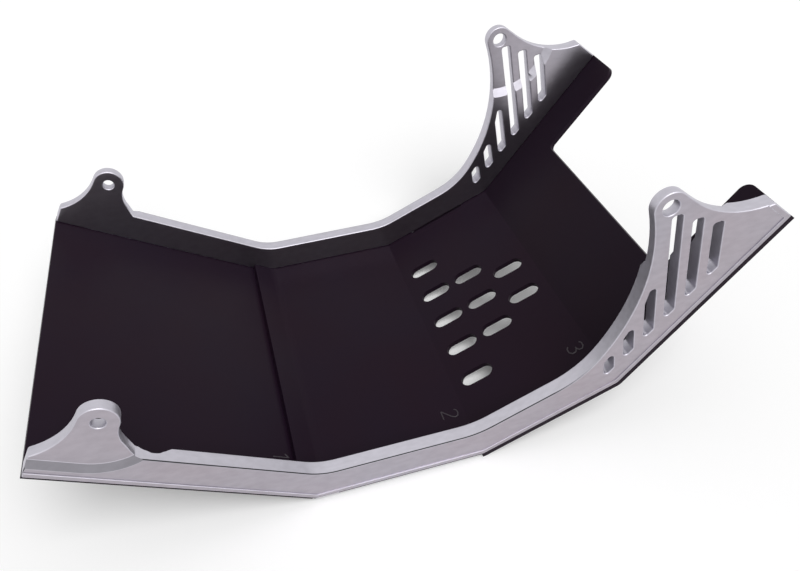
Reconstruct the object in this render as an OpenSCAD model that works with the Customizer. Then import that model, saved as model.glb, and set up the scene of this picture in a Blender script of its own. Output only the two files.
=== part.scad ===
// Motorcycle skid plate: two folded sheets carried by a pair of machined side rails.
// +X runs to the upswept front end, +Y to the left rail, +Z up. The flat middle panel lies on the ground.

/* [Sheets] */
// Thickness of both sheets
sheet_t = 4.8; // [3:0.1:6]
// Length of the rear panel, from its free end to the rear fold
rear_len = 202; // [170:1:240]
// Length of the middle panel between the rear and the middle fold
mid_len = 134; // [110:1:170]
// Length of the slotted panel between the middle and the front fold
slotted_len = 118; // [100:1:150]
// Length of the front panel, from the front fold to its free end
front_len = 171; // [145:1:200]
// Angle that the rear panel rises behind the middle panel, in degrees
rear_fold = 31; // [20:1:40]
// Angle that the slotted panel rises above the middle panel, in degrees
mid_fold = 23; // [10:1:30]
// Further angle of the front panel above the slotted panel, in degrees
front_fold = 28; // [15:1:35]
// Inner radius of the folds
fold_r = 5; // [3:0.5:9]
// Distance of the front sheet's edges from the rails' outer faces
edge_gap = 0.6; // [0.2:0.1:1.2]
// Further inset of both sheets' edges behind the middle fold
edge_step = 2.6; // [1:0.1:2.8]

/* [Lap joint] */
// Length of the front sheet's flange that laps over the rear sheet
lap_len = 21; // [14:1:40]
// Inner radius of the fold that carries the lap flange
lap_r = 20; // [8:1:24]
// Gap between the rear sheet's front end and the fold
lap_gap = 1; // [0.5:0.5:4]
// Side gap between the lap flange and each rail
lap_side_gap = 0.2; // [0.1:0.1:1]

/* [Front notch] */
// Width of the notch in the front panel
notch_w = 200; // [150:1:210]
// Depth of the notch from the front end
notch_depth = 90; // [50:1:110]
// Radius of the notch's inner corners
notch_r = 5; // [3:1:15]
// Radius of the inner corners at the tips beside the notch
tip_r = 9; // [3:1:14]

/* [Drain slots] */
// Overall length of a drain slot
drain_len = 29; // [22:1:31]
// Width of a drain slot
drain_w = 14; // [8:1:18]
// Web between the drain slots of a column, across the sheet
drain_web = 23.5; // [10:0.5:26]
// Web between the columns of drain slots, along the sheet
column_web = 6.5; // [5:0.5:12]
// Distance from the middle fold to the first column of slots, and at least from the last one to the front fold
drain_start = 8.5; // [6:0.5:12]

/* [Rails] */
// Overall width over the outer faces of the rails
overall_w = 296; // [260:1:340]
// Thickness of a rail
rail_t = 12.7; // [11:0.1:16]
// Height of a rail above the sheets
rail_h = 25.5; // [20:0.5:32]
// Radius of the rail's upper edge over the rear fold
rear_top_r = 45; // [20:1:80]
// Radius of the rail's upper edge over the middle fold
mid_top_r = 60; // [20:1:100]
// Height of the lip along the foot and the front end of a rail's outer face
lip_h = 4; // [2:0.5:6]
// Depth of the outer face behind the lip
lip_d = 0.8; // [0.4:0.1:1.5]
// Depth of the milled relief around each mounting hole
relief_d = 4; // [2:0.5:5]
// Width of the sloping border of the reliefs
relief_slope = 7.5; // [4:0.5:10]

/* [Rear lugs] */
// Distance of the rear mounting hole from the rear end
lug_pos = 32; // [30:1:44]
// Height of the rear mounting hole above the rear panel
lug_rise = 51; // [48:1:60]
// Radius of the rear lug's head
lug_r = 13; // [11:0.5:15]
// Diameter of the rear mounting hole
lug_bore = 9; // [6:0.5:11]
// Radius of the sweep behind the lug
lug_sweep_r = 44; // [40:1:46]
// Radius of the sweep in front of the lug
lug_flank_r = 22.5; // [18:0.5:24]
// Radius of the relief around the rear mounting hole
lug_relief_r = 45; // [42:1:46]
// Radius of the tool clearance beside the right lug
scallop_r = 17; // [12:1:20]
// Depth of the tool clearance beside the right lug
scallop_d = 4.9; // [3:0.1:5.5]
// Distance of the tool clearance in front of the rear mounting hole
scallop_pos = 41.5; // [40:0.5:46]

/* [Front ears] */
// Distance of the front mounting hole from the front end, along the front panel
ear_back = 40; // [34:1:46]
// Height of the front mounting hole above the front panel
ear_rise = 94; // [90:1:100]
// Radius of the front ear's head
ear_r = 12; // [11:0.5:14]
// Diameter of the front mounting hole
ear_bore = 12; // [8:0.5:13]
// Radius of the long sweep behind the ear
ear_sweep_r = 147; // [135:1:160]
// Distance before the front fold at which the ear leaves the slotted panel's upper edge
ear_start = 43.8; // [36:0.1:54]
// Radius that leads from the slotted panel's upper edge into the long sweep
ear_blend_r = 70; // [40:1:90]
// Radius of the sweep from the ear down to the front end
ear_toe_r = 75; // [68:1:82]
// Height of the rail at its front end
toe_h = 22; // [16:0.5:28]
// Radius of the relief around the front mounting hole
ear_relief_r = 55; // [50:1:60]

/* [Ear slots] */
// Width of an ear slot
ear_slot_w = 8; // [5:0.5:10]
// Distance between the ear slots, along the front panel
ear_slot_pitch = 21; // [18:0.5:22]
// Distance of the last ear slot's foot behind the front mounting hole
ear_slot_back = 21; // [18:1:26]
// Least distance of the first ear slot's foot from the front fold
ear_slot_start = 4; // [2:0.5:10]
// Angle of the ear slots to the front panel, in degrees
ear_slot_angle = 48; // [44:1:54]
// Height of the slots' feet above the front panel
ear_slot_foot = 16; // [14:0.5:20]
// Web left between a slot and the edge of the ear
ear_slot_web = 7; // [5:0.5:9]
// Corner radius of the ear slots
ear_slot_r = 2.5; // [1:0.5:3]

/* [Screws] */
// Diameter of the screws that hold the sheets to the rails
screw_d = 5; // [4:0.5:6]
// Diameter of the countersunk heads
head_d = 9.6; // [8:0.1:10]
// Length of a screw with its head
screw_len = 12; // [10:1:16]
// Size of the hexagon socket across its flats
socket_w = 3; // [2.5:0.5:4]
// Depth of the hexagon socket
socket_depth = 2; // [1:0.1:2.5]
// Radial clearance of the screws in the sheets
screw_gap = 0.25; // [0.1:0.05:0.4]
// Sheet left between a screw's head and the narrow sheet's edge
head_margin = 0.65; // [0.4:0.05:0.9]
// Distance of the end screws from the ends of a panel
screw_margin = 28; // [24:1:36]
// Depth that the screw holes go beyond the screw's end
hole_extra = 2; // [1:0.5:4]

/* [Hidden] */
$fn = 96;
big_fn = 240;
cut = 1;
// Rounds reach this far over the lines that they touch, so that the outlines cross cleanly
graze = 0.004;
reach = rear_len + mid_len + slotted_len + front_len;

sheet_black = [0.13, 0.12, 0.13];
rail_silver = [0.74, 0.73, 0.75];
screw_black = [0.1, 0.1, 0.1];

// Panel numbers, from the rear to the front
REAR = 0;
MIDDLE = 1;
SLOTTED = 2;
FRONT = 3;
tilt = [-rear_fold, 0, mid_fold, mid_fold + front_fold];
panel_len = [rear_len, mid_len, slotted_len, front_len];

function dir(a) = [cos(a), sin(a)];
function up(a) = [-sin(a), cos(a)];
function unit(v) = v / norm(v);
function turned(v) = [-v[1], v[0]];

// The folded line that the sheets' upper faces follow, seen from the right side.
// The part is centred between its rear and front ends and stands on the middle panel.
rear_reach = rear_len * cos(rear_fold) + sheet_t * sin(rear_fold);
front_reach = mid_len + slotted_len * cos(mid_fold)
    + front_len * cos(mid_fold + front_fold) + sheet_t * sin(mid_fold + front_fold);
rear_corner = [(rear_reach - front_reach) / 2, sheet_t];
mid_corner = rear_corner + [mid_len, 0];
front_corner = mid_corner + slotted_len * dir(tilt[SLOTTED]);
rear_end = rear_corner - rear_len * dir(tilt[REAR]);
front_end = front_corner + front_len * dir(tilt[FRONT]);
fold_line = [rear_end, rear_corner, mid_corner, front_corner, front_end];

// A point at distance s along a panel and height h above its upper face, and the way back
function at(panel, s, h = 0) = fold_line[panel] + s * dir(tilt[panel]) + h * up(tilt[panel]);
function along(panel, p) = (p - fold_line[panel]) * dir(tilt[panel]);
function above(panel, p) = (p - fold_line[panel]) * up(tilt[panel]);

// The point at distance a from p and b from q, on the left of the way from p to q
function touching(p, a, q, b) =
    let (d = norm(q - p), x = (a ^ 2 - b ^ 2 + d ^ 2) / (2 * d), u = unit(q - p))
    p + x * u + sqrt(a ^ 2 - x ^ 2) * turned(u);

// A folded path moved to height h above itself
function heading(path, k) = unit(path[k + 1] - path[k]);
function normal(path, k) = turned(heading(path, k));
function mitre(n1, n2) = (n1 + n2) / (1 + n1 * n2);
function raised(path, k, h) =
    k == 0 ? path[0] + h * normal(path, 0)
    : k == len(path) - 1 ? path[k] + h * normal(path, k - 1)
    : path[k] + h * mitre(normal(path, k - 1), normal(path, k));

// The area between a corner and the round of radius r that touches its two sides.
// n1 and n2 are the sides' unit normals towards the centre of the round.
module corner_web(centre, r, n1, n2) {
    difference() {
        polygon([centre - r * n1, centre - (r + cut) * mitre(n1, n2), centre - r * n2]);
        translate(centre) circle(r = r + graze, $fn = big_fn);
    }
}

// The web in fold k of a path, at height h above it
module fold_web(path, k, h, r) {
    corner_web(raised(path, k, h + r), r, normal(path, k - 1), normal(path, k));
}

// Everything above a folded path at height h, with its folds rounded to radius r[k]
module space_above(path, h, r, past) {
    last = len(path) - 1;
    start = -past * heading(path, 0);
    end = past * heading(path, last - 1);
    difference() {
        polygon(concat(
            [start + raised(path, 0, h)],
            [for (k = [1:last - 1]) raised(path, k, h)],
            [end + raised(path, last, h), end + raised(path, last, cut),
                end + raised(path, last, cut) + [0, reach],
                start + raised(path, 0, cut) + [0, reach], start + raised(path, 0, cut)]));
        for (k = [1:last - 1]) fold_web(path, k, h, r[k]);
    }
}

// Extrudes a side view from y0 to y1
module across(y0, y1) {
    translate([0, y1, 0]) rotate([90, 0, 0]) linear_extrude(y1 - y0) children();
}

// Places children on a panel's upper face: x along the panel, y across the part, z away from it
module on_panel(panel, s = 0, y = 0) {
    p = at(panel, s);
    translate([p[0], y, p[1]]) rotate([0, -tilt[panel], 0]) children();
}

half_w = overall_w / 2;
rail_inner = half_w - rail_t;

// Sheets

lap_corner = rear_corner + [sheet_t / sin(rear_fold), 0];
lap_end = lap_corner - lap_len * dir(tilt[REAR]);
front_path = [lap_end, lap_corner, mid_corner, front_corner, front_end];
front_radii = [0, lap_r, fold_r, fold_r, 0];
lap_half = rail_inner - lap_side_gap;
wide_half = half_w - edge_gap;
narrow_half = wide_half - edge_step;
// The corners beside the lap flange are cut away as far as the fold reaches
relief_x = lap_corner[0] + (lap_r + sheet_t) * tan(rear_fold / 2) + cut;

module sheet_side(path, r) {
    difference() {
        space_above(path, -sheet_t, [for (v = r) v + sheet_t], 0);
        space_above(path, 0, r, cut);
    }
}

module rear_sheet() {
    color(sheet_black) difference() {
        across(-narrow_half, narrow_half)
            polygon([at(REAR, 0, -sheet_t), at(REAR, rear_len - lap_gap, -sheet_t),
                at(REAR, rear_len - lap_gap), at(REAR, 0)]);
        screw_seats([REAR]);
    }
}

module front_sheet() {
    color(sheet_black) difference() {
        intersection() {
            across(-wide_half, wide_half) sheet_side(front_path, front_radii);
            front_blank();
        }
        front_notch();
        drain_slots();
        screw_seats([MIDDLE, SLOTTED, FRONT]);
    }
}

// The plan of the front sheet: lap flange, narrow middle panel and full width in front
module front_blank() {
    from = lap_end[0] - sheet_t - cut;
    to = front_end[0] + sheet_t + cut;
    step_x = at(SLOTTED, 0)[0];
    translate([0, 0, -cut]) linear_extrude(reach) {
        translate([from, -lap_half]) square([relief_x - from + cut, 2 * lap_half]);
        translate([relief_x, -narrow_half]) square([step_x - relief_x + cut, 2 * narrow_half]);
        translate([step_x, -wide_half - cut]) square([to - step_x, 2 * (wide_half + cut)]);
    }
}

module front_notch() {
    root = front_len - notch_depth;
    half = notch_w / 2;
    on_panel(FRONT) translate([0, 0, -sheet_t - cut]) linear_extrude(sheet_t + 2 * cut)
        difference() {
            union() {
                translate([root, -half]) square([notch_depth + cut, notch_w]);
                for (side = [-1, 1]) corner_web([front_len - tip_r, side * (half + tip_r)], tip_r,
                    [-1, 0], [0, side]);
            }
            for (side = [-1, 1]) corner_web([root + notch_r, side * (half - notch_r)], notch_r,
                [1, 0], [0, -side]);
        }
}

// Columns of five, three, two and one slots, as many as the panel has room for
module drain_slots() {
    counts = [5, 3, 2, 1];
    column_pitch = drain_len + column_web;
    columns = floor((slotted_len - 2 * drain_start - drain_len) / column_pitch) + 1;
    for (column = [0:columns - 1], k = [0:counts[column] - 1])
        on_panel(SLOTTED, drain_start + drain_len / 2 + column * column_pitch,
                (k - (counts[column] - 1) / 2) * (drain_w + drain_web))
            translate([0, 0, -sheet_t - cut]) linear_extrude(sheet_t + 2 * cut) drain_slot();
}

module drain_slot() {
    straight = drain_len - drain_w;
    square([straight, drain_w], center = true);
    for (end = [-1, 1]) translate([end * straight / 2, 0]) circle(d = drain_w);
}

// Rails

ear_pos = front_len - ear_back;
lug_centre = at(REAR, lug_pos, lug_rise);
ear_centre = at(FRONT, ear_pos, ear_rise);

// Rear lug: the sweeps' centres are level with the hole, and a 45 degree slope leads down to the rail
sweep_centre = at(REAR, lug_pos - lug_r - lug_sweep_r, lug_rise);
flank_pos = lug_pos + lug_r + lug_flank_r;
flank_centre = at(REAR, flank_pos, lug_rise);
slope_top = [flank_pos, lug_rise] - lug_flank_r * dir(45);
lug_front = slope_top[0] + slope_top[1] - rail_h;

// Front ear: a long sweep touches the head's rear side, and a straight flank and the toe sweep
// lead from its front side to the rail's end
blend_along = slotted_len - ear_start;
blend_centre = at(SLOTTED, blend_along, rail_h + ear_blend_r);
long_centre = touching(blend_centre, ear_sweep_r - ear_blend_r, ear_centre, ear_sweep_r + ear_r);
ear_flank = ear_pos + ear_r;
toe_along = ear_flank + ear_toe_r;
toe_up = toe_h + sqrt(ear_toe_r ^ 2 - (front_len - toe_along) ^ 2);
toe_centre = at(FRONT, toe_along, toe_up);

// The upstand along the three rear panels, with the lug's foot
module upstand_side() {
    difference() {
        polygon([rear_end, rear_corner, mid_corner, front_corner,
            at(SLOTTED, slotted_len, rail_h), raised(fold_line, MIDDLE + 1, rail_h),
            raised(fold_line, REAR + 1, rail_h), at(REAR, lug_front, rail_h),
            at(REAR, slope_top[0], slope_top[1]), flank_centre, lug_centre, at(REAR, 0, lug_rise)]);
        translate(sweep_centre) circle(r = lug_sweep_r, $fn = big_fn);
        translate(flank_centre) circle(r = lug_flank_r + graze, $fn = big_fn);
    }
    fold_web(fold_line, REAR + 1, rail_h, rear_top_r);
    fold_web(fold_line, MIDDLE + 1, rail_h, mid_top_r);
    translate(lug_centre) circle(r = lug_r + graze);
}

module ear_side() {
    difference() {
        polygon([front_corner, front_end, at(FRONT, front_len, toe_h), toe_centre,
            at(FRONT, ear_flank, toe_up), at(FRONT, ear_flank, ear_rise), ear_centre, long_centre,
            blend_centre, at(SLOTTED, blend_along, lip_h)]);
        translate(long_centre) circle(r = ear_sweep_r, $fn = big_fn);
        translate(toe_centre) circle(r = ear_toe_r + graze, $fn = big_fn);
    }
    corner_web(blend_centre, ear_blend_r, up(tilt[SLOTTED]), unit(long_centre - blend_centre));
    translate(ear_centre) circle(r = ear_r + graze);
}

// Ear slots, drawn along the front panel: parallel slots whose feet follow the panel and whose
// heads keep their web to the sweeps and the hole. There are as many as have room to be longer than wide.
slot_dir = dir(ear_slot_angle);

// Distance from p along the slot to where it meets a circle, or far away if it misses
function meets(p, centre, r) =
    let (d = centre - p, m = d * slot_dir, q = r ^ 2 - d * d + m ^ 2)
    q < 0 || m < 0 ? reach : m - sqrt(q);

function side_room(p) = min(
    meets(p, [toe_along, toe_up], ear_toe_r + ear_slot_web - 0.5),
    meets(p, [ear_pos, ear_rise], ear_bore / 2 + ear_slot_web - 0.5));

function sweep_room(p) =
    meets(p, [along(FRONT, long_centre), above(FRONT, long_centre)], ear_sweep_r + ear_slot_web);

function slot_corners(foot) =
    let (half = [ear_slot_w / 2 / sin(ear_slot_angle), 0],
        p = foot - half,
        q = foot + half,
        front_room = min(side_room(p) + ear_slot_w / tan(ear_slot_angle), side_room(q)))
    [q, q + min(front_room, sweep_room(q)) * slot_dir,
        p + min(front_room + ear_slot_w / tan(ear_slot_angle), sweep_room(p)) * slot_dir, p];

// A polygon of anticlockwise points with its corners rounded
module rounded(points, r) {
    n = len(points);
    difference() {
        polygon(points);
        for (k = [0:n - 1]) {
            n1 = turned(unit(points[k] - points[(k + n - 1) % n]));
            n2 = turned(unit(points[(k + 1) % n] - points[k]));
            corner_web(points[k] + r * mitre(n1, n2), r, n1, n2);
        }
    }
}

module ear_slot_cuts() {
    translate(fold_line[FRONT]) rotate(tilt[FRONT])
        for (s = [ear_pos - ear_slot_back : -ear_slot_pitch : ear_slot_start])
            if (sweep_room([s, ear_slot_foot]) > ear_slot_w)
                rounded(slot_corners([s, ear_slot_foot]), ear_slot_r);
}

module rail_side() {
    difference() {
        union() {
            upstand_side();
            ear_side();
        }
        for (k = [MIDDLE + 1, SLOTTED + 1]) fold_web(fold_line, k, 0, fold_r);
        ear_slot_cuts();
    }
}

// The lip that stands out around the foot and the front end of the outer face
module lip_side() {
    difference() {
        rail_side();
        polygon([at(REAR, -cut, lip_h), raised(fold_line, 1, lip_h), raised(fold_line, 2, lip_h),
            raised(fold_line, 3, lip_h), at(FRONT, front_len - lip_h, lip_h),
            at(FRONT, front_len - lip_h, 2 * toe_h), at(FRONT, front_len - lip_h, 2 * toe_h) + [0, reach],
            at(REAR, -cut, lip_h) + [0, reach]]);
    }
}

// A relief with a sloping border around an axis along Y. It opens at y = 0 towards -Y.
slope_per_mm = relief_slope / relief_d;
module round_relief(centre, r, depth) {
    translate([centre[0], -cut, centre[1]]) rotate([-90, 0, 0])
        cylinder(h = depth + cut, r1 = r + cut * slope_per_mm, r2 = r - depth * slope_per_mm, $fn = big_fn);
}

// The cut for the lug's relief. Behind the hole it runs straight to the rear end.
// It goes deeper than the relief, whose floor is the face of the rail's inner layer.
module lug_relief() {
    depth = relief_d + cut;
    foot = lug_rise - lug_relief_r + graze;
    top = lug_rise + lug_relief_r;
    round_relief(lug_centre, lug_relief_r, depth);
    on_panel(REAR, -cut) rotate([90, 0, 90]) linear_extrude(lug_pos + cut)
        polygon([[-cut, foot - cut * slope_per_mm], [depth, foot + depth * slope_per_mm],
            [depth, top], [-cut, top]]);
}

// One rail, drawn with its outer face at y = 0 and its inner face at y = rail_t
module rail(with_scallop) {
    difference() {
        union() {
            across(relief_d, rail_t) rail_side();
            difference() {
                union() {
                    across(lip_d, relief_d) rail_side();
                    across(0, lip_d) lip_side();
                }
                lug_relief();
            }
        }
        translate([0, rail_t, 0]) mirror([0, 1, 0]) round_relief(ear_centre, ear_relief_r, relief_d);
        bore(lug_centre, lug_bore);
        bore(ear_centre, ear_bore);
        if (with_scallop) on_panel(REAR, lug_pos + scallop_pos, rail_t + scallop_r - scallop_d)
            translate([0, 0, -cut]) cylinder(r = scallop_r, h = rail_h + 2 * cut);
        for (seat = screw_places([REAR, MIDDLE, SLOTTED, FRONT]))
            on_panel(seat[0], seat[1], half_w - screw_y) translate([0, 0, -cut])
                cylinder(d = screw_d, h = screw_len - sheet_t + hole_extra + cut);
    }
}

module bore(centre, d) {
    translate([centre[0], -cut, centre[1]]) rotate([-90, 0, 0]) cylinder(d = d, h = rail_t + 2 * cut);
}

module rail_right() {
    color(rail_silver) translate([0, -half_w, 0]) rail(true);
}

module rail_left() {
    color(rail_silver) mirror([0, 1, 0]) translate([0, -half_w, 0]) rail(false);
}

// Screws

// How many screws hold each panel to a rail
screws_in = [3, 2, 2, 3];
screw_y = narrow_half - head_d / 2 - head_margin;
screw_r = screw_d / 2 - 0.05;
head_h = (head_d - screw_d) / 2;

function screw_places(panels) = [for (p = panels, k = [0:screws_in[p] - 1])
    [p, screw_margin + k * (panel_len[p] - 2 * screw_margin) / (screws_in[p] - 1)]];
places = screw_places([REAR, MIDDLE, SLOTTED, FRONT]);

// Countersunk holes through the sheets, opening downwards
module screw_seats(panels) {
    for (seat = screw_places(panels), side = [-1, 1])
        on_panel(seat[0], seat[1], side * screw_y) translate([0, 0, -sheet_t]) {
            cylinder(d = screw_d + 2 * screw_gap, h = sheet_t + cut);
            translate([0, 0, -cut]) cylinder(d = head_d, h = cut);
            cylinder(d1 = head_d, d2 = screw_d, h = head_h);
        }
}

module screw(k, side) {
    seat = places[k];
    color(screw_black) on_panel(seat[0], seat[1], side * screw_y) translate([0, 0, -sheet_t])
        difference() {
            union() {
                cylinder(d1 = head_d, d2 = 2 * screw_r, h = head_d / 2 - screw_r);
                cylinder(r = screw_r, h = screw_len);
            }
            translate([0, 0, -cut]) cylinder(d = socket_w / cos(30), h = socket_depth + cut, $fn = 6);
        }
}

front_sheet();
rear_sheet();
rail_left();
rail_right();
for (k = [0:len(places) - 1]) {
    screw(k, 1);
    screw(k, -1);
}
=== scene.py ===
"""Finishes, milled edges, panel numbers, light and camera for a motorcycle skid plate.

The solids come packed in one shared frame, in metres: +X to the upswept front end, +Y to the left rail
and +Z up.
"""

import bmesh
import bpy
import numpy as np
from bpy.props import FloatProperty, FloatVectorProperty, IntProperty, PointerProperty
from mathutils import Matrix, Vector


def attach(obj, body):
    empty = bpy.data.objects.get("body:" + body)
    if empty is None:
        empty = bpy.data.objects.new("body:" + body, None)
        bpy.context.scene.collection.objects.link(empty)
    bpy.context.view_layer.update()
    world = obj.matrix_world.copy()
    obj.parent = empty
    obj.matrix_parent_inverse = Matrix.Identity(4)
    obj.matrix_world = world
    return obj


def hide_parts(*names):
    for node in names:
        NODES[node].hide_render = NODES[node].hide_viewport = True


bl_info = {
    "name": "Skid Plate Finish",
    "version": (1, 0, 0),
    "blender": (4, 5, 0),
    "location": "View3D > Sidebar > Skid Plate",
    "description": "Milled rails, black folded sheets, panel numbers and studio for a skid plate",
    "category": "Object",
}

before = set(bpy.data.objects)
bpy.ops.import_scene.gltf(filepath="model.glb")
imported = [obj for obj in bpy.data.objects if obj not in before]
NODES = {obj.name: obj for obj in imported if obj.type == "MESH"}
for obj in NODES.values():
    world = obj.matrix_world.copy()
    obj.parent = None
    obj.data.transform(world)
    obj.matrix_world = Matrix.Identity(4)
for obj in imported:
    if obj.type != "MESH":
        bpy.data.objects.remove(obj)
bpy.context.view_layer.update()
SHEETS = ["front_sheet", "rear_sheet"]
RAILS = ["rail_left", "rail_right"]
SCREWS = sorted(name for name in NODES if name.startswith("screw_"))
Y_AXIS, Z_AXIS = 1, 2


# The folded line of the sheets' upper faces, from the rear: each panel's length and its rise in degrees. The
# sheets are this thick, and their rearmost corner is the rear sheet's lower one.

SHEET_T = 0.0048
REAR_X = min(corner.co.x for corner in NODES["rear_sheet"].data.vertices)
PANEL_LENGTHS = {"rear": 0.202, "middle": 0.134, "slotted": 0.118}
PANEL_RISES = {"rear": -31.0, "middle": 0.0, "slotted": 23.0}


def panel_starts():
    """Where each panel starts, in X and Z. The line begins above the rearmost corner, on the other side of
    the rear sheet, and comes down to the middle panel, which lies flat on the floor."""
    rise = np.radians(PANEL_RISES["rear"])
    spot = np.array([REAR_X - SHEET_T * np.sin(rise), SHEET_T - PANEL_LENGTHS["rear"] * np.sin(rise)])
    starts = {}
    for panel, length in PANEL_LENGTHS.items():
        starts[panel] = spot
        rise = np.radians(PANEL_RISES[panel])
        spot = spot + length * np.array([np.cos(rise), np.sin(rise)])
    return starts


PANEL_STARTS = panel_starts()


def on_panel(panel, s, y, h):
    """Points at distances s along a panel, y across it and h above its upper face, as rows of X, Y and Z."""
    x0, z0 = PANEL_STARTS[panel]
    rise = np.radians(PANEL_RISES[panel])
    along_x, along_z = np.cos(rise), np.sin(rise)
    s, y, h = np.broadcast_arrays(s, y, h)
    return np.stack([x0 + s * along_x - h * along_z, y, z0 + s * along_z + h * along_x], axis=-1)


# Sizes and colours that can be set

class RailSettings(bpy.types.PropertyGroup):
    colour: FloatVectorProperty(name="Face colour", description="Colour of the rails' broad faces",
                                subtype="COLOR", size=3, min=0, max=1, default=(0.395, 0.376, 0.422))
    # The milled edges' colour is paler than the faces': a painted highlight, chosen by which way the surface
    # faces
    highlit_side_colour: FloatVectorProperty(name="Edge colour", description="Colour of the rails' milled edges",
                                     subtype="COLOR", size=3, min=0, max=1, default=(0.53, 0.515, 0.57))
    roughness: FloatProperty(name="Face roughness", description="Roughness of the rails' broad faces",
                             min=0, max=1, default=0.3)
    side_roughness: FloatProperty(name="Edge roughness", description="Roughness of the rails' milled edges",
                                  min=0, max=1, default=0.5)
    edge: FloatProperty(name="Edge break", description="Width of the rounded edges of the rails",
                        min=0.0001, max=0.002, default=0.0011, unit="LENGTH")
    edge_steps: IntProperty(name="Edge steps", description="Facets across a rounded edge",
                            min=1, max=4, default=3)


class SheetSettings(bpy.types.PropertyGroup):
    colour: FloatVectorProperty(name="Coating", description="Colour of the black coating on the sheets",
                                subtype="COLOR", size=3, min=0, max=1, default=(0.0098, 0.0043, 0.0112))
    roughness: FloatProperty(name="Roughness", description="Roughness of the black coating",
                             min=0, max=1, default=0.42)
    edge: FloatProperty(name="Edge break", description="Width of the broken edges of the sheets",
                        min=0.0001, max=0.001, default=0.0002, unit="LENGTH")


class NumberSettings(bpy.types.PropertyGroup):
    size: FloatProperty(name="Figure width", description="Width of a panel number; it is half as high again",
                        min=0.003, max=0.02, default=0.009, unit="LENGTH")
    stroke: FloatProperty(name="Stroke", description="Width of a number's raised stroke",
                          min=0.0003, max=0.003, default=0.0012, unit="LENGTH")
    height: FloatProperty(name="Height", description="Height of the strokes above the sheet",
                          min=0.0001, max=0.001, default=0.0005, unit="LENGTH")


class StudioSettings(bpy.types.PropertyGroup):
    lens: FloatProperty(name="Lens", description="Focal length on a 36 mm sensor, in millimetres",
                        min=10, max=100, default=32.154)
    floor_grey: FloatProperty(name="Floor", description="Grey of the floor where light falls on it",
                              min=0, max=1, default=0.95)
    key_strength: FloatProperty(name="Key lamp", description="Strength of the large soft lamp overhead",
                                min=0, max=10, default=2.1)


# Mesh helpers

def add_object(name, data):
    """A new object in the scene that shows a mesh, a lamp or a camera."""
    item = bpy.data.objects.new(name, data)
    bpy.context.scene.collection.objects.link(item)
    return item


def shade_smooth(mesh):
    mesh.polygons.foreach_set("use_smooth", np.ones(len(mesh.polygons), dtype=bool))


def extent(face, axis):
    """How far a face's corners reach along an axis."""
    spots = [corner.co[axis] for corner in face.verts]
    return max(spots) - min(spots)


# Cleaning of a solid's mesh: corners this close together are merged and edges this short are removed, in
# metres, and faces that turn less than this against each other are joined, in degrees

LOOSE_CORNER = 2e-5
TINY_EDGE = 1e-5
FLAT_TURN = 1.0

# Edges that turn outwards by more than this are rounded, and those that turn by less than the other are
# shaded smooth, in degrees. A rounded edge takes at most this share of the wall beside it.

ROUNDED_TURN = 50.0
SMOOTH_TURN = 15.0
WALL_SHARE = 0.35

# A face whose normal has a share along an axis between these two is the sloping side of a milled relief,
# which the sheets don't have. The sheets' narrow edges need fewer facets than the rails'.

NO_SLOPES = (1.0, 1.0)
RELIEF_SLOPES = (0.8, 0.95)
SHEET_EDGE_STEPS = 2


def weigh_edges(shape, width, across, slopes):
    """Sets how much each edge is rounded, from 0 to 1, and whether it is shaded smooth."""
    weight = shape.edges.layers.float.new("bevel_weight_edge")
    for edge in shape.edges:
        if len(edge.link_faces) != 2:
            continue
        turn = np.degrees(edge.calc_face_angle_signed(0.0))
        sloping = any(slopes[0] < abs(face.normal[across]) < slopes[1] for face in edge.link_faces)
        if turn > ROUNDED_TURN and not sloping:
            wall = min(edge.link_faces, key=lambda face: abs(face.normal[across]))
            edge[weight] = min(1.0, WALL_SHARE * extent(wall, across) / width)
        edge.smooth = abs(turn) < SMOOTH_TURN or edge[weight] > 0.0


def edged_copy(node, width, steps, across, slopes=NO_SLOPES):
    """A copy of a solid's mesh with its loose corners merged, its flat faces joined and its edges rounded.
    Outer edges get the full width, less where the wall beside them is narrow, measured along the axis
    across. Inner corners stay sharp, and so do the shallow borders of the milled reliefs and the edges of
    their sloping sides, whose normals have a share along the axis between the two slopes."""
    mesh = NODES[node].data.copy()
    shape = bmesh.new()
    shape.from_mesh(mesh)
    bmesh.ops.remove_doubles(shape, verts=shape.verts, dist=LOOSE_CORNER)
    bmesh.ops.dissolve_degenerate(shape, edges=shape.edges, dist=TINY_EDGE)
    bmesh.ops.dissolve_limit(shape, angle_limit=np.radians(FLAT_TURN), verts=shape.verts, edges=shape.edges,
                             delimit={"NORMAL"})
    weigh_edges(shape, width, across, slopes)
    shape.to_mesh(mesh)
    shape.free()
    piece = add_object(node + "_finished", mesh)
    mesh.name = piece.name
    shade_smooth(mesh)
    bevel = piece.modifiers.new("rounded edges", "BEVEL")
    bevel.width = width
    bevel.segments = steps
    bevel.limit_method = "WEIGHT"
    bevel.use_clamp_overlap = False
    bevel.loop_slide = False
    bevel.miter_outer = "MITER_ARC"
    even = piece.modifiers.new("even shading", "WEIGHTED_NORMAL")
    even.mode = "FACE_AREA"
    even.weight = 100
    even.keep_sharp = True
    return piece


def add_surface(name, grids):
    """One mesh of quads over several grids of points, each of shape rows by columns by 3."""
    points, faces, first = [], [], 0
    for grid in grids:
        rows, columns = grid.shape[:2]
        index = first + np.arange(rows * columns).reshape(rows, columns)
        corners = [index[:-1, :-1], index[1:, :-1], index[1:, 1:], index[:-1, 1:]]
        faces.append(np.stack(corners, axis=-1).reshape(-1, 4))
        points.append(grid.reshape(-1, 3))
        first += rows * columns
    mesh = bpy.data.meshes.new(name)
    mesh.from_pydata(np.concatenate(points).tolist(), [], np.concatenate(faces).tolist())
    shade_smooth(mesh)
    return add_object(name, mesh)


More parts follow.
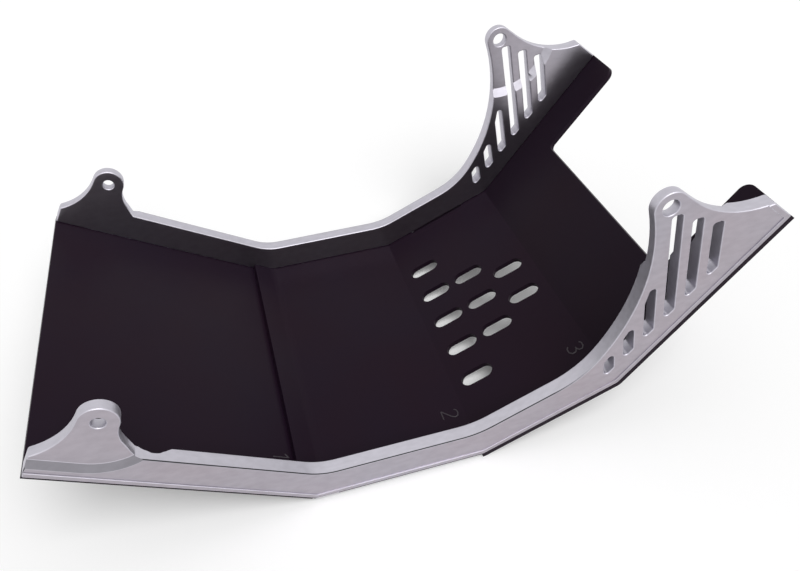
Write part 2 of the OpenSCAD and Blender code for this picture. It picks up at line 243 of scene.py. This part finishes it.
def prism(name, outline, near, far):
    """A block whose outline in X and Z is carried straight along Y, from near to far.
    Point (k, v) of the grid is corner k of the outline at Y = near + v * (far - near), where v is 0 or 1,
    and two flat ends close it."""
    outline = np.array(outline)
    count = len(outline)
    rows = [np.insert(outline, 1, y, axis=1) for y in (near, far)]
    k = np.arange(count)
    sides = np.stack([k, (k + 1) % count, (k + 1) % count + count, k + count], axis=1).tolist()
    mesh = bpy.data.meshes.new(name)
    mesh.from_pydata(np.concatenate(rows).tolist(), [], sides + [k[::-1].tolist(), (k + count).tolist()])
    shape = bmesh.new()
    shape.from_mesh(mesh)
    bmesh.ops.recalc_face_normals(shape, faces=shape.faces)
    shape.to_mesh(mesh)
    shape.free()
    return add_object(name, mesh)


def give_material(piece, material):
    piece.data.materials.clear()
    piece.data.materials.append(material)


# Filler that closes the open corner of the lap joint under each rail: its outline in X and Z, and its span
# in Y from the rail's inner face outwards

FILLER_OUTLINE = ((-0.0898, 0.00515), (-0.08917, 0.0047), (-0.0723, 0.0047), (-0.0723, 0.0002),
                  (-0.0903, 0.0002), (-0.0921, 0.00125))
FILLER_SPAN = (0.1353, 0.1444)


# Panel numbers: each stroke is a row of corner points on a grid one unit wide and 1.5 units high, and each
# number stands on a panel at a distance along it and a distance across it

NUMBERS = {
    "1": [[(0.1, 1.15), (0.5, 1.5), (0.5, 0.0)]],
    "2": [[(0.05, 1.2), (0.18, 1.42), (0.5, 1.5), (0.84, 1.4), (0.95, 1.12), (0.8, 0.8),
           (0.0, 0.0), (1.0, 0.0)]],
    "3": [[(0.05, 1.3), (0.3, 1.48), (0.65, 1.48), (0.92, 1.28), (0.88, 0.98), (0.6, 0.8), (0.4, 0.8)],
          [(0.6, 0.8), (0.92, 0.62), (0.95, 0.28), (0.68, 0.03), (0.3, 0.02), (0.02, 0.22)]],
}
NUMBER_PLACES = (
    ("1", "rear", 0.172, -0.107),
    ("2", "middle", 0.115, -0.098),
    ("3", "slotted", 0.099, -0.0955),
)
STROKE_ROWS = 48
STROKE_COLUMNS = 9
BLUNTNESS = 24


def bead(path, width, height, place):
    """A raised bead along a path on a surface: the path is drawn out by a half-round profile.
    Point (u, v) of the grid is path(u) + width / 2 * taper(u) * cos(v) * side(u), lifted by
    height * taper(u) * sin(v), where side is at right angles to the path, v goes from 0 to pi, and taper is
    the square root of 1 - t ** BLUNTNESS as t goes from -1 to 1, which closes the ends. place turns the
    plane's x, y and lift into space."""
    step = np.gradient(path, axis=0)
    side = np.stack([-step[:, 1], step[:, 0]], axis=1) / np.linalg.norm(step, axis=1)[:, None]
    v = np.linspace(0.0, np.pi, STROKE_COLUMNS)
    t = np.linspace(-1, 1, len(path))
    taper = np.sqrt(np.clip(1 - t ** BLUNTNESS, 0.0, 1.0))[:, None]
    flat = path[:, None, :] + width / 2 * (taper * np.cos(v))[:, :, None] * side[:, None, :]
    return place(flat[:, :, 0], flat[:, :, 1], height * taper * np.sin(v))


def number_grids(figure, panel, s0, y0, size, width, height):
    """The beads of a figure whose foot stands at s0 and y0 on a panel and whose top points to the front."""
    def place(across, up, lift):
        return on_panel(panel, s0 + up, y0 - across, lift)
    grids = []
    for stroke in NUMBERS[figure]:
        corners = np.array(stroke) * size
        reach = np.concatenate([[0.0], np.cumsum(np.linalg.norm(np.diff(corners, axis=0), axis=1))])
        run = np.linspace(0.0, reach[-1], STROKE_ROWS)
        path = np.stack([np.interp(run, reach, corners[:, k]) for k in (0, 1)], axis=1)
        grids.append(bead(path, width, height, place))
    return grids


# Node helpers

def new_material(name):
    """A material with its node tree and its shader."""
    material = bpy.data.materials.new(name)
    material.use_nodes = True
    tree = material.node_tree
    return material, tree, tree.nodes["Principled BSDF"]


def feed(tree, value, socket):
    """Links a node's output to a socket, or sets the socket to a plain value."""
    if isinstance(value, bpy.types.NodeSocket):
        tree.links.new(value, socket)
    else:
        socket.default_value = value


def ramp(tree, source, low, high, low_at=0.3, high_at=0.7):
    """A ramp from value low to value high as the source goes from low_at to high_at, by default where most
    of a noise lies."""
    node = tree.nodes.new("ShaderNodeMapRange")
    node.inputs["From Min"].default_value = low_at
    node.inputs["From Max"].default_value = high_at
    node.inputs["To Min"].default_value = low
    node.inputs["To Max"].default_value = high
    tree.links.new(source, node.inputs["Value"])
    return node.outputs["Result"]


def combined(tree, operation, one, other=0.0):
    """One Math node over outputs or numbers."""
    node = tree.nodes.new("ShaderNodeMath")
    node.operation = operation
    feed(tree, one, node.inputs[0])
    feed(tree, other, node.inputs[1])
    return node.outputs[0]


def product(tree, first, *others):
    """The product of outputs and numbers."""
    for other in others:
        first = combined(tree, "MULTIPLY", first, other)
    return first


def mixed(tree, factor, one, other):
    """A colour that goes from one to the other as the factor goes from 0 to 1."""
    mix = tree.nodes.new("ShaderNodeMix")
    mix.data_type = "RGBA"
    feed(tree, factor, mix.inputs["Factor"])
    feed(tree, one, mix.inputs["A"])
    feed(tree, other, mix.inputs["B"])
    return mix.outputs["Result"]


def parts(tree, vector):
    """The X, Y and Z of a vector output."""
    split = tree.nodes.new("ShaderNodeSeparateXYZ")
    tree.links.new(vector, split.inputs["Vector"])
    return split.outputs


def noise(tree, scale, stretch, detail):
    """Noise on the object's own coordinates, each axis scaled by stretch."""
    place = tree.nodes.new("ShaderNodeTexCoord")
    mapping = tree.nodes.new("ShaderNodeMapping")
    mapping.inputs["Scale"].default_value = stretch
    texture = tree.nodes.new("ShaderNodeTexNoise")
    texture.inputs["Scale"].default_value = scale
    texture.inputs["Detail"].default_value = detail
    tree.links.new(place.outputs["Object"], mapping.inputs["Vector"])
    tree.links.new(mapping.outputs["Vector"], texture.inputs["Vector"])
    return texture.outputs["Fac"]


def tinted(tree, cloud, colour, tint):
    """A colour that changes with a noise to the same colour times a tint."""
    colour = np.array(colour)
    return mixed(tree, ramp(tree, cloud, 0.0, 1.0), (*colour, 1.0), (*(colour * tint), 1.0))


def band(tree, source, start, end, soft):
    """1 while the source lies between start and end, falling to 0 over soft at both ends."""
    rise = ramp(tree, source, 0.0, 1.0, start - soft, start + soft)
    fall = ramp(tree, source, 1.0, 0.0, end - soft, end + soft)
    return product(tree, rise, fall)


# Noises: fineness, scale along each axis, and layers of detail

EVEN = (1.0, 1.0, 1.0)
CLOUD = (9.0, EVEN, 3.0)
CUTTER = (260.0, (0.45, 1.0, 1.0), 5.0)
BLOTCH = (11.0, EVEN, 2.0)
PEEL = (900.0, EVEN, 2.0)
OXIDE_GRAIN = (700.0, EVEN, 2.0)

# Rails: the two shares of the normal across the plate between which a milled edge turns into a broad face,
# the tints that the cloud gives to both, and what the cutter's streaks do to value and roughness

BROAD_TURN = (0.87, 0.98)
FACE_TINT = (1.02, 0.96, 0.95)
SIDE_TINT = 0.95
STREAK_VALUE = (0.94, 1.05)
STREAK_ROUGHNESS = (0.96, 1.05)

# Painted shadow line on a rail's outer upper edge, a dark line painted into the colour as shade: the share
# of the normal that faces across and how softly it ends, the distance from the middle plane, the share of
# the normal that faces up over which it sets in, the X over which it fades out at the ear, and the share of
# the value left on it

EDGE_SHADOW_TURN = (0.14, 0.81)
EDGE_SHADOW_SOFT = 0.06
EDGE_SHADOW_DEPTH = (0.146, 0.1473)
EDGE_SHADOW_UPWARD = (0.05, 0.15)
EDGE_SHADOW_FADE = (0.1, 0.135)
EDGE_SHADOW_LEFT = 0.05

# Painted shade that darkens the slope at the foot of the rear lugs, in the same measures, and how softly
# both end in depth

SLOPE_SHADE_TURN = (0.84, 0.92)
SLOPE_SHADE_SOFT = 0.02
SLOPE_SHADE_DEPTH = (0.1442, 0.1471)
SLOPE_SHADE_FADE = (-0.16, -0.15)
SLOPE_SHADE_LEFT = 0.48
DEPTH_SOFT = 0.0001

# Coatings of the sheets and screws

COATING_TINT = (1.12, 0.92, 0.88)
COATING_ROUGHNESS = (0.9, 1.12)
COATING_GLOSS = 0.08
NUMBER_GLOSS = 0.6
PEEL_STRENGTH = 0.08
PEEL_DEPTH = 0.00005
OXIDE_COLOUR = (0.05, 0.048, 0.05, 1.0)
OXIDE_ROUGHNESS = (0.3, 0.48)


# Materials

def painted_edge_shadow(tree, facing, depth, upward, along):
    """1 on the painted shadow line on the rounded upper edge of a rail's outer face, from the rear lug to
    the ear.
    """
    return product(tree,
                   band(tree, facing, *EDGE_SHADOW_TURN, EDGE_SHADOW_SOFT),
                   band(tree, depth, *EDGE_SHADOW_DEPTH, DEPTH_SOFT),
                   ramp(tree, upward, 0.0, 1.0, *EDGE_SHADOW_UPWARD),
                   ramp(tree, along, 1.0, 0.0, *EDGE_SHADOW_FADE))


def painted_slope_shade(tree, facing, depth, along):
    """1 on the sloping side of the milled relief at the foot of a rear lug, where shade is painted."""
    return product(tree,
                   band(tree, facing, *SLOPE_SHADE_TURN, SLOPE_SHADE_SOFT),
                   band(tree, depth, *SLOPE_SHADE_DEPTH, DEPTH_SOFT),
                   ramp(tree, along, 1.0, 0.0, *SLOPE_SHADE_FADE))


def milled_metal(settings):
    """Bare aluminium: fine cutter streaks and a slow cloudiness in the colour. The edges cut by the side of
    the cutter, which face along the plate, are duller than the broad faces, which face across it, and are
    painted paler as a painted highlight.
    A painted shadow, a dark line painted into the colour, runs along the upper edge of the outer face, and
    the slope at the foot of the rear lug is painted darker as painted shade."""
    material, tree, shader = new_material("milled_aluminium")
    shader.inputs["Metallic"].default_value = 1.0
    coordinates = tree.nodes.new("ShaderNodeTexCoord")
    normal = parts(tree, coordinates.outputs["Normal"])
    place = parts(tree, coordinates.outputs["Object"])
    facing = combined(tree, "ABSOLUTE", normal["Y"])
    depth = combined(tree, "ABSOLUTE", place["Y"])
    cloud = noise(tree, *CLOUD)
    cutter = noise(tree, *CUTTER)

    faces = tinted(tree, cloud, settings.colour, FACE_TINT)
    sides = tinted(tree, cloud, settings.highlit_side_colour, SIDE_TINT)
    # line: the painted shadow along the outer upper edge
    line = painted_edge_shadow(tree, facing, depth, normal["Z"], place["X"])
    # slope: painted shade on the relief slope at the foot of the rear lug
    slope = painted_slope_shade(tree, facing, depth, place["X"])
    # Milled edges take the paler colour: a painted highlight, set by the normal
    colour = mixed(tree, ramp(tree, facing, 0.0, 1.0, *BROAD_TURN), sides, faces)
    # The value is darkened on the painted edge shadow and on the painted shade of the lug slope
    value = product(tree,
                    ramp(tree, cutter, *STREAK_VALUE),
                    ramp(tree, line, 1.0, EDGE_SHADOW_LEFT, 0.0, 1.0),
                    ramp(tree, slope, 1.0, SLOPE_SHADE_LEFT, 0.0, 1.0))
    shade = tree.nodes.new("ShaderNodeHueSaturation")
    tree.links.new(colour, shade.inputs["Color"])
    tree.links.new(value, shade.inputs["Value"])
    tree.links.new(shade.outputs["Color"], shader.inputs["Base Color"])

    finish = ramp(tree, facing, settings.side_roughness, settings.roughness, *BROAD_TURN)
    rough = product(tree, finish, ramp(tree, cutter, *STREAK_ROUGHNESS))
    tree.links.new(rough, shader.inputs["Roughness"])
    return material


def black_coating(settings, name, gloss):
    """Black anodised sheet: a faint orange peel and slow changes of tint and roughness over the panel."""
    material, tree, shader = new_material(name)
    shader.inputs["Specular IOR Level"].default_value = gloss
    colour = tinted(tree, noise(tree, *BLOTCH), settings.colour, COATING_TINT)
    tree.links.new(colour, shader.inputs["Base Color"])
    low, high = settings.roughness * np.array(COATING_ROUGHNESS)
    tree.links.new(ramp(tree, noise(tree, *CLOUD), low, high), shader.inputs["Roughness"])
    bump = tree.nodes.new("ShaderNodeBump")
    bump.inputs["Strength"].default_value = PEEL_STRENGTH
    bump.inputs["Distance"].default_value = PEEL_DEPTH
    tree.links.new(noise(tree, *PEEL), bump.inputs["Height"])
    tree.links.new(bump.outputs["Normal"], shader.inputs["Normal"])
    return material


def black_oxide():
    """Blackened steel of the screws, with a fine grain in its roughness."""
    material, tree, shader = new_material("black_oxide_steel")
    shader.inputs["Metallic"].default_value = 1.0
    shader.inputs["Base Color"].default_value = OXIDE_COLOUR
    tree.links.new(ramp(tree, noise(tree, *OXIDE_GRAIN), *OXIDE_ROUGHNESS), shader.inputs["Roughness"])
    return material


# Studio: the floor's half width, its own glow, and the strength of the world as light and as seen directly

FLOOR_REACH = 6.0
FLOOR_GLOW = 0.07
WORLD_LIGHT = 0.45
WORLD_SEEN = 1.0

# The lamp's direction from the part and its width in degrees

LAMP_SPOT = (0.15, -0.55, 0.82)
LAMP_SPREAD = 45

# The camera's place and the directions of its right side, its underside and its view

CAMERA_SPOT = (-0.0959025, -0.460259, 0.4764649)
CAMERA_RIGHT = (0.96021899, -0.27680811, -0.03683403)
CAMERA_DOWN = (-0.20816298, -0.62160881, -0.75516268)
CAMERA_AHEAD = (0.18613879, 0.73278903, -0.65450179)
SENSOR_WIDTH = 36.0
NEAREST = 0.01
WHITE = (1.0, 1.0, 1.0, 1.0)


def seen_directly(tree):
    """1 for the camera's own rays and for those that go on from metal or glass, otherwise 0."""
    path = tree.nodes.new("ShaderNodeLightPath")
    either = combined(tree, "MAXIMUM", path.outputs["Is Camera Ray"], path.outputs["Is Glossy Ray"])
    return combined(tree, "MAXIMUM", either, path.outputs["Is Transmission Ray"])


def add_floor(settings):
    """A flat floor at height zero. Seen directly it is white with the object's shadow on it."""
    corners = [(x * FLOOR_REACH, y * FLOOR_REACH, 0.0) for x, y in ((-1, -1), (1, -1), (1, 1), (-1, 1))]
    mesh = bpy.data.meshes.new("floor")
    mesh.from_pydata(corners, [], [(0, 1, 2, 3)])
    floor = add_object("floor", mesh)
    material, tree, shader = new_material("pale_floor")
    grey = settings.floor_grey
    shader.inputs["Base Color"].default_value = (grey, grey, grey, 1.0)
    shader.inputs["Roughness"].default_value = 1.0
    shader.inputs["Specular IOR Level"].default_value = 0.0
    shader.inputs["Emission Color"].default_value = WHITE
    tree.links.new(product(tree, seen_directly(tree), FLOOR_GLOW), shader.inputs["Emission Strength"])
    give_material(floor, material)


def add_surroundings():
    """A soft grey-white world that shows as white where it is seen directly."""
    world = bpy.data.worlds.new("soft_studio")
    bpy.context.scene.world = world
    world.use_nodes = True
    tree = world.node_tree
    background = tree.nodes["Background"]
    background.inputs["Color"].default_value = WHITE
    strength = ramp(tree, seen_directly(tree), WORLD_LIGHT, WORLD_SEEN, 0.0, 1.0)
    tree.links.new(strength, background.inputs["Strength"])


def add_lamp(settings):
    """A large soft lamp far away overhead, aimed at the part."""
    lamp = bpy.data.lights.new("overhead", "SUN")
    lamp.angle = np.radians(LAMP_SPREAD)
    lamp.energy = settings.key_strength
    holder = add_object("overhead", lamp)
    aim = (-Vector(LAMP_SPOT)).to_track_quat("-Z", "Y").to_matrix().to_4x4()
    holder.matrix_world = Matrix.Translation(LAMP_SPOT) @ aim


def add_camera(settings):
    """The camera that sees the part as the photograph does."""
    camera = bpy.data.cameras.new("camera")
    camera.sensor_width = SENSOR_WIDTH
    camera.lens = settings.lens
    camera.clip_start = NEAREST
    holder = add_object("camera", camera)
    turn = Matrix((Vector(CAMERA_RIGHT), -Vector(CAMERA_DOWN), -Vector(CAMERA_AHEAD))).transposed().to_4x4()
    holder.matrix_world = Matrix.Translation(CAMERA_SPOT) @ turn
    bpy.context.scene.camera = holder


# Operators

class SKIDPLATE_OT_sheets(bpy.types.Operator):
    """Give both folded sheets their broken edges and black coating"""
    bl_idname = "skidplate.sheets"
    bl_label = "Finish Sheets"

    def execute(self, context):
        settings = context.scene.skidplate_sheets
        coating = black_coating(settings, "black_coating", COATING_GLOSS)
        for node in SHEETS:
            piece = edged_copy(node, settings.edge, SHEET_EDGE_STEPS, Z_AXIS)
            give_material(piece, coating)
            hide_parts(node)
            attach(piece, "root")
        return {"FINISHED"}


class SKIDPLATE_OT_fillers(bpy.types.Operator):
    """Close the open corner of the lap joint under each rail with a black filler"""
    bl_idname = "skidplate.fillers"
    bl_label = "Add Corner Fillers"

    def execute(self, context):
        coating = black_coating(context.scene.skidplate_sheets, "filler_coating", COATING_GLOSS)
        for side, name in ((1, "corner_filler_left"), (-1, "corner_filler_right")):
            piece = prism(name, FILLER_OUTLINE, side * FILLER_SPAN[0], side * FILLER_SPAN[1])
            give_material(piece, coating)
            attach(piece, "root")
        return {"FINISHED"}


class SKIDPLATE_OT_numbers(bpy.types.Operator):
    """Raise the plain panel numbers 1, 2 and 3 on the coated sheets, beside the right rail"""
    bl_idname = "skidplate.numbers"
    bl_label = "Add Panel Numbers"

    def execute(self, context):
        settings = context.scene.skidplate_numbers
        coating = black_coating(context.scene.skidplate_sheets, "number_coating", NUMBER_GLOSS)
        for figure, panel, s0, y0 in NUMBER_PLACES:
            grids = number_grids(figure, panel, s0, y0, settings.size, settings.stroke, settings.height)
            piece = add_surface("number_" + figure, grids)
            give_material(piece, coating)
            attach(piece, "root")
        return {"FINISHED"}


class SKIDPLATE_OT_rails(bpy.types.Operator):
    """Give both side rails their broken edges and milled finish"""
    bl_idname = "skidplate.rails"
    bl_label = "Finish Rails"

    def execute(self, context):
        settings = context.scene.skidplate_rails
        metal = milled_metal(settings)
        for node in RAILS:
            piece = edged_copy(node, settings.edge, settings.edge_steps, Y_AXIS, RELIEF_SLOPES)
            give_material(piece, metal)
            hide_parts(node)
            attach(piece, "root")
        return {"FINISHED"}


class SKIDPLATE_OT_screws(bpy.types.Operator):
    """Blacken the countersunk screws"""
    bl_idname = "skidplate.screws"
    bl_label = "Finish Screws"

    def execute(self, context):
        oxide = black_oxide()
        for node in SCREWS:
            give_material(NODES[node], oxide)
        return {"FINISHED"}


class SKIDPLATE_OT_studio(bpy.types.Operator):
    """Add the floor, the white surroundings, the lamp and the camera"""
    bl_idname = "skidplate.studio"
    bl_label = "Add Studio"

    def execute(self, context):
        settings = context.scene.skidplate_studio
        add_floor(settings)
        add_surroundings()
        add_lamp(settings)
        add_camera(settings)
        return {"FINISHED"}


class SKIDPLATE_PT_panel(bpy.types.Panel):
    """The steps and sizes of the skid plate's finish"""
    bl_idname = "SKIDPLATE_PT_panel"
    bl_label = "Skid Plate"
    bl_space_type = "VIEW_3D"
    bl_region_type = "UI"
    bl_category = "Skid Plate"

    def draw(self, context):
        scene = context.scene
        sheet_sizes = ("colour", "roughness", "edge")
        number_sizes = ("size", "stroke", "height")
        rail_sizes = ("colour", "highlit_side_colour", "roughness", "side_roughness", "edge", "edge_steps")
        studio_sizes = ("lens", "floor_grey", "key_strength")
        groups = ((scene.skidplate_sheets, sheet_sizes, SKIDPLATE_OT_sheets),
                  (scene.skidplate_numbers, number_sizes, SKIDPLATE_OT_numbers),
                  (scene.skidplate_rails, rail_sizes, SKIDPLATE_OT_rails),
                  (scene.skidplate_studio, studio_sizes, SKIDPLATE_OT_studio))
        for settings, names, operator in groups:
            box = self.layout.box()
            for name in names:
                box.prop(settings, name)
            box.operator(operator.bl_idname)
        self.layout.operator(SKIDPLATE_OT_fillers.bl_idname)
        self.layout.operator(SKIDPLATE_OT_screws.bl_idname)


CLASSES = (
    RailSettings, SheetSettings, NumberSettings, StudioSettings,
    SKIDPLATE_OT_sheets, SKIDPLATE_OT_fillers, SKIDPLATE_OT_numbers, SKIDPLATE_OT_rails,
    SKIDPLATE_OT_screws, SKIDPLATE_OT_studio, SKIDPLATE_PT_panel,
)


def register():
    for item in CLASSES:
        bpy.utils.register_class(item)
    bpy.types.Scene.skidplate_rails = PointerProperty(type=RailSettings)
    bpy.types.Scene.skidplate_sheets = PointerProperty(type=SheetSettings)
    bpy.types.Scene.skidplate_numbers = PointerProperty(type=NumberSettings)
    bpy.types.Scene.skidplate_studio = PointerProperty(type=StudioSettings)


def unregister():
    del bpy.types.Scene.skidplate_rails
    del bpy.types.Scene.skidplate_sheets
    del bpy.types.Scene.skidplate_numbers
    del bpy.types.Scene.skidplate_studio
    for item in reversed(CLASSES):
        bpy.utils.unregister_class(item)


def main():
    register()
    bpy.context.scene.view_settings.view_transform = "Standard"
    bpy.ops.skidplate.sheets()
    bpy.ops.skidplate.fillers()
    bpy.ops.skidplate.numbers()
    bpy.ops.skidplate.rails()
    bpy.ops.skidplate.screws()
    bpy.ops.skidplate.studio()


if __name__ == "__main__":
    main()
